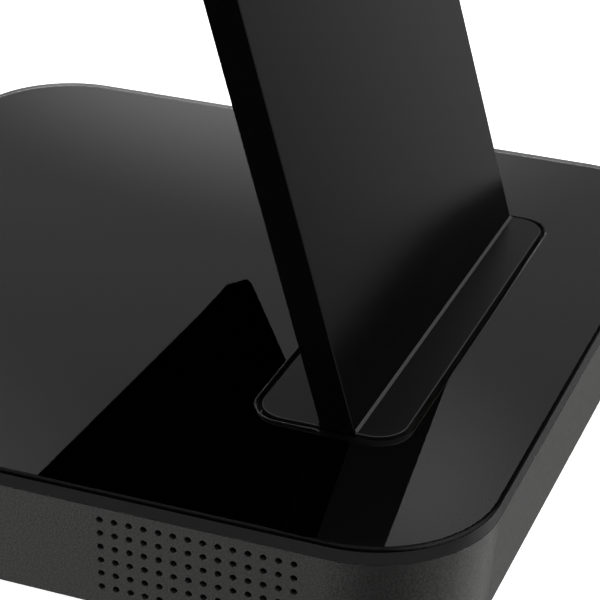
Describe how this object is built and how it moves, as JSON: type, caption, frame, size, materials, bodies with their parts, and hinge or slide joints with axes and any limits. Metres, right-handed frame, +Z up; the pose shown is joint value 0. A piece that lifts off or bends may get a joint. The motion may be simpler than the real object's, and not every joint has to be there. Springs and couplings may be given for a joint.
{
  "type": "phone charging kiosk",
  "caption": "Floor-standing kiosk: leaning slab mast with a phone ledge, wireless charging places and display, on a square glass-topped base.",
  "frame": {"origin": "on the floor, under the centre of the base", "axes": "+Z up, -Y towards the user, +X to the user's right hand side when facing the kiosk"},
  "size_m": [0.45, 0.45, 1.2254],
  "materials": {
    "base_paint": "fine textured powder coat",
    "mast_paint": "fine matt powder coat",
    "trim_black": "satin anodised",
    "black_glass": "polished, painted black behind",
    "display_cover": "polished, dark",
    "zinc_steel": "zinc plated",
    "bright_metal": "satin",
    "black_plastic": "fine spark texture",
    "soft_rubber": "matt",
    "speaker_cloth": "acoustic cloth",
    "speaker_paper": "pressed paper",
    "magnet_ferrite": "sintered ferrite",
    "circuit_board": "solder mask",
    "display_module": "flat panel",
    "copper_wire": "enamelled copper",
    "light_pipe": "clear, diffuse"
  },
  "bodies": {
    "kiosk": {"base_skirt": "base_paint", "base_pan": "zinc_steel", "pan_screws": "zinc_steel", "glass_deck": "zinc_steel", "deck_posts": "zinc_steel", "glass_seal": "soft_rubber", "glass_top": "black_glass", "front_trim": "trim_black", "rear_trim": "trim_black", "clamp_bolts": "zinc_steel", "mast_clamp_front": "zinc_steel", "mast_clamp_rear": "zinc_steel", "foot_nuts": "zinc_steel", "grille_cloths": "speaker_cloth", "speaker_frames": "black_plastic", "speaker_cones": "speaker_paper", "speaker_magnets": "magnet_ferrite", "ballast_plates": "zinc_steel", "power_supply": "bright_metal", "charger_board": "circuit_board", "io_panel": "base_paint", "power_inlet": "black_plastic", "switch_bezel": "black_plastic", "mast_shell": "mast_paint", "mast_rails": "zinc_steel", "rear_cover": "mast_paint", "rear_cover_screws": "zinc_steel", "door_frame": "zinc_steel", "top_cap": "black_plastic", "display_glass": "display_cover", "display_panel": "display_module", "display_board": "circuit_board", "charge_coils": "copper_wire", "coil_shields": "magnet_ferrite", "coil_boards": "circuit_board", "pad_rings": "soft_rubber", "status_lights": "light_pipe", "charge_ledge": "mast_paint", "ledge_mat": "soft_rubber", "ledge_screws": "zinc_steel", "control_plate": "black_plastic", "usb_a_sockets": "bright_metal", "usb_c_sockets": "bright_metal", "button_bezel": "bright_metal", "button_switch": "black_plastic", "mast_loom": "black_plastic", "hinge_leaves_fixed": "mast_paint", "hinge_pins": "zinc_steel"},
    "rear_door": {"rear_door": "mast_paint", "hinge_leaves_door": "mast_paint"},
    "door_latch": {"latch_barrel": "bright_metal", "latch_cam": "bright_metal"},
    "start_button": {"start_button": "bright_metal"},
    "volume_up_button": {"volume_up_button": "black_plastic"},
    "volume_down_button": {"volume_down_button": "black_plastic"},
    "power_rocker": {"power_rocker": "black_plastic"},
    "foot_front_left": {"levelling_foot_front_left": "black_plastic"},
    "foot_rear_left": {"levelling_foot_rear_left": "black_plastic"},
    "foot_front_right": {"levelling_foot_front_right": "black_plastic"},
    "foot_rear_right": {"levelling_foot_rear_right": "black_plastic"}
  },
  "joints": [
    {"name": "foot_front_left_height", "type": "slide", "parent": "kiosk", "child": "foot_front_left", "axis": [0, 0, 1], "range_m": [-0.01, 0]},
    {"name": "foot_rear_left_height", "type": "slide", "parent": "kiosk", "child": "foot_rear_left", "axis": [0, 0, 1], "range_m": [-0.01, 0]},
    {"name": "foot_front_right_height", "type": "slide", "parent": "kiosk", "child": "foot_front_right", "axis": [0, 0, 1], "range_m": [-0.01, 0]},
    {"name": "foot_rear_right_height", "type": "slide", "parent": "kiosk", "child": "foot_rear_right", "axis": [0, 0, 1], "range_m": [-0.01, 0]},
    {"name": "door_hinge", "type": "hinge", "parent": "kiosk", "child": "rear_door", "pos_m": [-0.11225, 0.1472, 1.01342], "axis": [0, 0.274, 0.9617], "range_deg": [0, 110]},
    {"name": "latch_turn", "type": "hinge", "parent": "rear_door", "child": "door_latch", "pos_m": [0.098, 0.14489, 1.01408], "axis": [0, 0.9617, -0.274], "range_deg": [0, 90]},
    {"name": "start_button_press", "type": "slide", "parent": "kiosk", "child": "start_button", "axis": [0, 0.9617, -0.274], "range_m": [0, 0.0018], "stiffness_N_per_m": 600, "springref_m": -0.0005},
    {"name": "volume_up_press", "type": "slide", "parent": "kiosk", "child": "volume_up_button", "axis": [-1, 0, 0], "range_m": [0, 0.0006], "stiffness_N_per_m": 800, "springref_m": -0.0003},
    {"name": "volume_down_press", "type": "slide", "parent": "kiosk", "child": "volume_down_button", "axis": [-1, 0, 0], "range_m": [0, 0.0006], "stiffness_N_per_m": 800, "springref_m": -0.0003},
    {"name": "power_rocker_tilt", "type": "hinge", "parent": "kiosk", "child": "power_rocker", "pos_m": [0.028, 0.1905, 0.036], "axis": [1, 0, 0], "range_deg": [-16, 0]}
  ]
}
